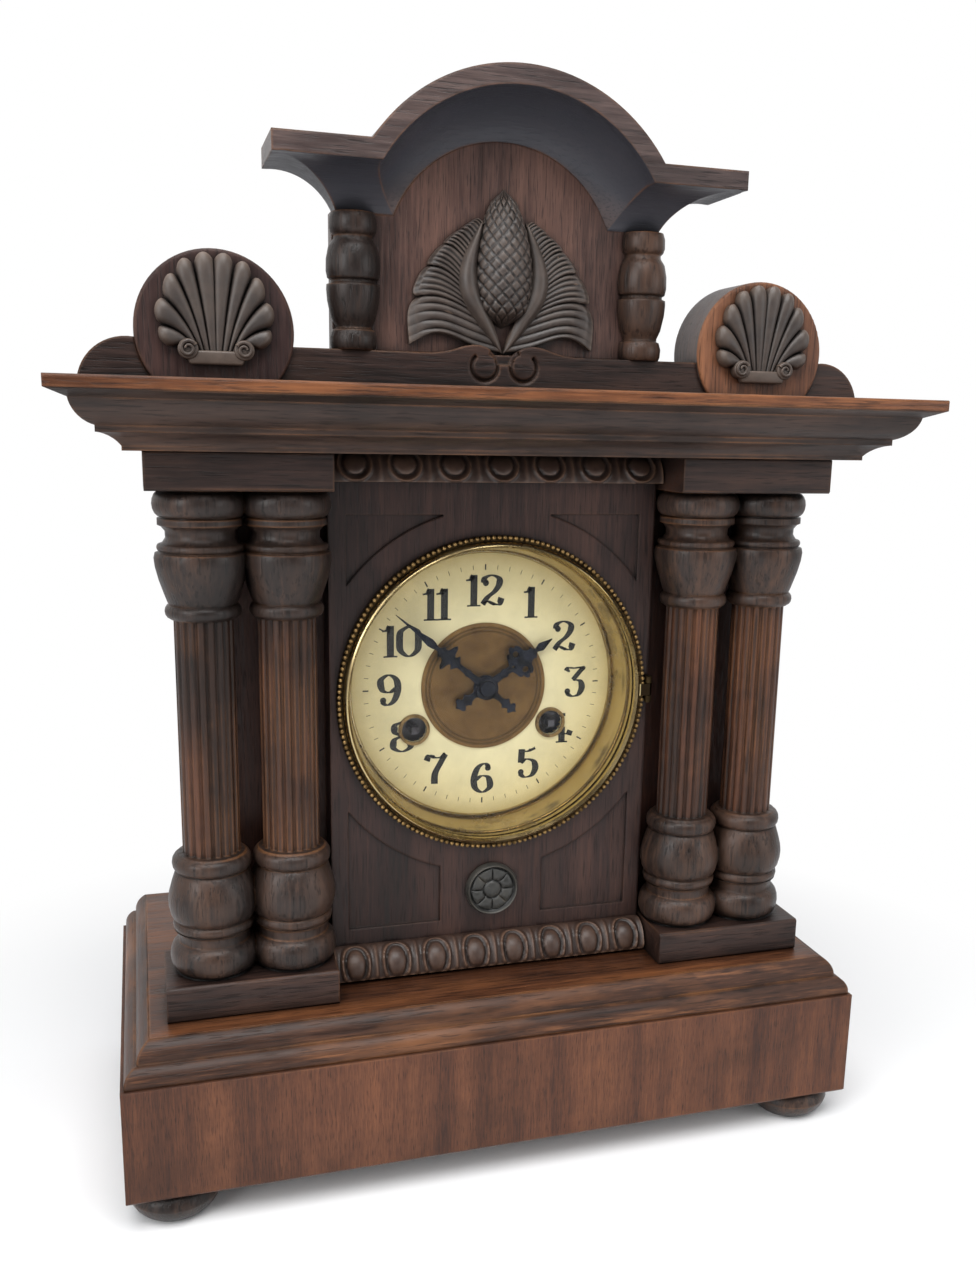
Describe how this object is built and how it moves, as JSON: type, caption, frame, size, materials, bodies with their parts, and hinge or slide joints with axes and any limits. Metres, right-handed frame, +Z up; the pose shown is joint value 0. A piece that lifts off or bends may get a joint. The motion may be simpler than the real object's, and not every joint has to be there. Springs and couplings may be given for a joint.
{
  "type": "columned mantel clock",
  "caption": "Columned mantel clock in dark stained wood with an arched pediment, carved shells, a hinged brass bezel over a cream dial, a back door and a striking pendulum movement.",
  "frame": {"origin": "on the floor under the middle of the clock's outline", "axes": "+Z up, +Y towards the back door, +X to the right seen from the dial"},
  "size_m": [0.351, 0.18, 0.4569],
  "materials": {
    "dark_wood": "walnut-stained softwood, waxed and worn orange at the edges",
    "turned_wood": "turned hardwood, stained nearly black and polished",
    "carved_wood": "carved ornament under a dull dark stain",
    "tarnished_brass": "old lacquered brass, tarnished",
    "dark_brass": "stamped brass, dark with age",
    "movement_brass": "plain machined brass",
    "arbor_steel": "machined steel",
    "gong_steel": "blued gong wire on an iron block",
    "blued_steel": "dark blued steel",
    "dial_cream": "ivory enamel paint, yellowed",
    "clear_glass": "clear, slightly domed by wear"
  },
  "bodies": {
    "case": {"base_boards": "dark_wood", "base_moulding": "dark_wood", "base_deck": "dark_wood", "column_blocks": "dark_wood", "pilaster_boards": "dark_wood", "case_sides": "dark_wood", "case_top_board": "dark_wood", "front_panel": "dark_wood", "cornice_moulding": "dark_wood", "cornice_board": "dark_wood", "crest_rail": "dark_wood", "crest_end_blocks": "dark_wood", "tympanum_board": "dark_wood", "pediment_cornice": "dark_wood", "back_frame": "dark_wood", "bun_feet": "turned_wood", "columns": "turned_wood", "roundels": "turned_wood", "pediment_balusters": "turned_wood", "egg_mouldings": "carved_wood", "panel_rosette": "carved_wood", "shell_carvings": "carved_wood", "pineapple_carving": "carved_wood", "bezel_surround": "tarnished_brass", "bezel_hinge": "tarnished_brass", "sight_ring": "tarnished_brass", "winding_grommets": "tarnished_brass", "dial_centre": "dark_brass", "movement_plates": "movement_brass", "movement_pillars": "movement_brass", "back_cock": "movement_brass", "frame_hinge_leaves": "movement_brass", "coil_gong": "gong_steel", "dial_plate": "dial_cream"},
    "bezel": {"bezel_ring": "tarnished_brass", "bezel_glass": "clear_glass"},
    "back_door": {"back_door": "dark_wood", "door_hinge_leaves": "movement_brass"},
    "turn_button": {"turn_button": "movement_brass"},
    "minute_hand": {"minute_hand": "blued_steel", "hand_nut": "movement_brass", "cannon_pinion": "arbor_steel"},
    "hour_hand": {"hour_hand": "blued_steel", "hour_wheel": "movement_brass"},
    "minute_wheel": {"minute_wheel": "movement_brass"},
    "time_barrel": {"time_barrel": "movement_brass"},
    "intermediate_wheel": {"intermediate_wheel": "movement_brass"},
    "centre_wheel": {"centre_wheel": "movement_brass"},
    "third_wheel": {"third_wheel": "movement_brass"},
    "escape_wheel": {"escape_wheel": "movement_brass"},
    "anchor": {"anchor": "arbor_steel"},
    "pendulum": {"pendulum": "movement_brass"},
    "rating_nut": {"rating_nut": "movement_brass"},
    "time_winding_arbor": {"time_winding_arbor": "arbor_steel"},
    "strike_winding_arbor": {"strike_winding_arbor": "arbor_steel"},
    "strike_barrel": {"strike_barrel": "movement_brass"},
    "pin_wheel": {"pin_wheel": "movement_brass"},
    "locking_wheel": {"locking_wheel": "movement_brass"},
    "strike_fly": {"strike_fly": "movement_brass"},
    "hammer": {"hammer": "arbor_steel"}
  },
  "joints": [
    {"name": "bezel_hinge", "type": "hinge", "parent": "case", "child": "bezel", "pos_m": [0.0721, -0.0313, 0.2071], "axis": [0, 0, 1], "range_deg": [0, 100]},
    {"name": "back_door_hinge", "type": "hinge", "parent": "case", "child": "back_door", "pos_m": [0.0943, 0.0862, 0.1955], "axis": [0, 0, -1], "range_deg": [0, 110]},
    {"name": "turn_button_turn", "type": "hinge", "parent": "case", "child": "turn_button", "pos_m": [-0.101, 0.085, 0.1955], "axis": [0, 1, 0], "range_deg": [0, 90]},
    {"name": "minute_spin", "type": "hinge", "parent": "case", "child": "minute_hand", "pos_m": [0, 0.02, 0.2071], "axis": [0, 1, 0], "continuous": true},
    {"name": "hour_spin", "type": "hinge", "parent": "case", "child": "hour_hand", "pos_m": [0, 0.02, 0.2071], "axis": [0, 1, 0], "continuous": true},
    {"name": "minute_wheel_spin", "type": "hinge", "parent": "case", "child": "minute_wheel", "pos_m": [0, 0.02, 0.1951], "axis": [0, 1, 0], "continuous": true},
    {"name": "third_spin", "type": "hinge", "parent": "case", "child": "third_wheel", "pos_m": [-0.01377, 0.02, 0.22676], "axis": [0, 1, 0], "continuous": true},
    {"name": "centre_spin", "type": "hinge", "parent": "case", "child": "centre_wheel", "pos_m": [0, 0.02, 0.2071], "axis": [0, 1, 0], "continuous": true},
    {"name": "intermediate_spin", "type": "hinge", "parent": "case", "child": "intermediate_wheel", "pos_m": [0.02158, 0.02, 0.22011], "axis": [0, 1, 0], "continuous": true},
    {"name": "time_barrel_spin", "type": "hinge", "parent": "case", "child": "time_barrel", "pos_m": [0.0324, 0.02, 0.1883], "axis": [0, 1, 0], "continuous": true},
    {"name": "escape_spin", "type": "hinge", "parent": "case", "child": "escape_wheel", "pos_m": [0, 0.02, 0.24642], "axis": [0, 1, 0], "continuous": true},
    {"name": "time_winding", "type": "hinge", "parent": "case", "child": "time_winding_arbor", "pos_m": [0.0324, 0.02, 0.1883], "axis": [0, 1, 0], "continuous": true},
    {"name": "strike_winding", "type": "hinge", "parent": "case", "child": "strike_winding_arbor", "pos_m": [-0.0324, 0.02, 0.1883], "axis": [0, 1, 0], "continuous": true},
    {"name": "locking_spin", "type": "hinge", "parent": "case", "child": "locking_wheel", "pos_m": [-0.0424, 0.02, 0.24502], "axis": [0, 1, 0], "continuous": true},
    {"name": "pin_wheel_spin", "type": "hinge", "parent": "case", "child": "pin_wheel", "pos_m": [-0.03823, 0.02, 0.22139], "axis": [0, 1, 0], "continuous": true},
    {"name": "strike_barrel_spin", "type": "hinge", "parent": "case", "child": "strike_barrel", "pos_m": [-0.0324, 0.02, 0.1883], "axis": [0, 1, 0], "continuous": true},
    {"name": "fly_spin", "type": "hinge", "parent": "case", "child": "strike_fly", "pos_m": [-0.02681, 0.02, 0.25403], "axis": [0, 1, 0], "continuous": true},
    {"name": "pendulum_swing", "type": "hinge", "parent": "case", "child": "pendulum", "pos_m": [0, 0.047, 0.26482], "axis": [0, 1, 0], "range_deg": [-5, 5]},
    {"name": "anchor_rock", "type": "hinge", "parent": "case", "child": "anchor", "pos_m": [0, 0.02, 0.26482], "axis": [0, 1, 0], "range_deg": [-5, 5]},
    {"name": "rating_nut_turn", "type": "hinge", "parent": "pendulum", "child": "rating_nut", "pos_m": [0, 0.047, 0.11082], "axis": [0, 0, 1], "continuous": true},
    {"name": "hammer_lift", "type": "hinge", "parent": "case", "child": "hammer", "pos_m": [-0.059, 0.02, 0.2071], "axis": [0, 1, 0], "range_deg": [0, 12]}
  ],
  "couplings": [
    {"joint": "minute_wheel_spin", "follows": "minute_spin", "ratio": -0.33333},
    {"joint": "hour_spin", "follows": "minute_spin", "ratio": 0.083333},
    {"joint": "centre_spin", "follows": "third_spin", "ratio": -0.090909},
    {"joint": "escape_spin", "follows": "third_spin", "ratio": -11},
    {"joint": "intermediate_spin", "follows": "third_spin", "ratio": 0.015152},
    {"joint": "time_barrel_spin", "follows": "third_spin", "ratio": -0.0021645},
    {"joint": "pin_wheel_spin", "follows": "locking_spin", "ratio": -0.11111},
    {"joint": "strike_barrel_spin", "follows": "locking_spin", "ratio": 0.015873},
    {"joint": "fly_spin", "follows": "locking_spin", "ratio": -8},
    {"joint": "anchor_rock", "follows": "pendulum_swing", "ratio": 1}
  ]
}
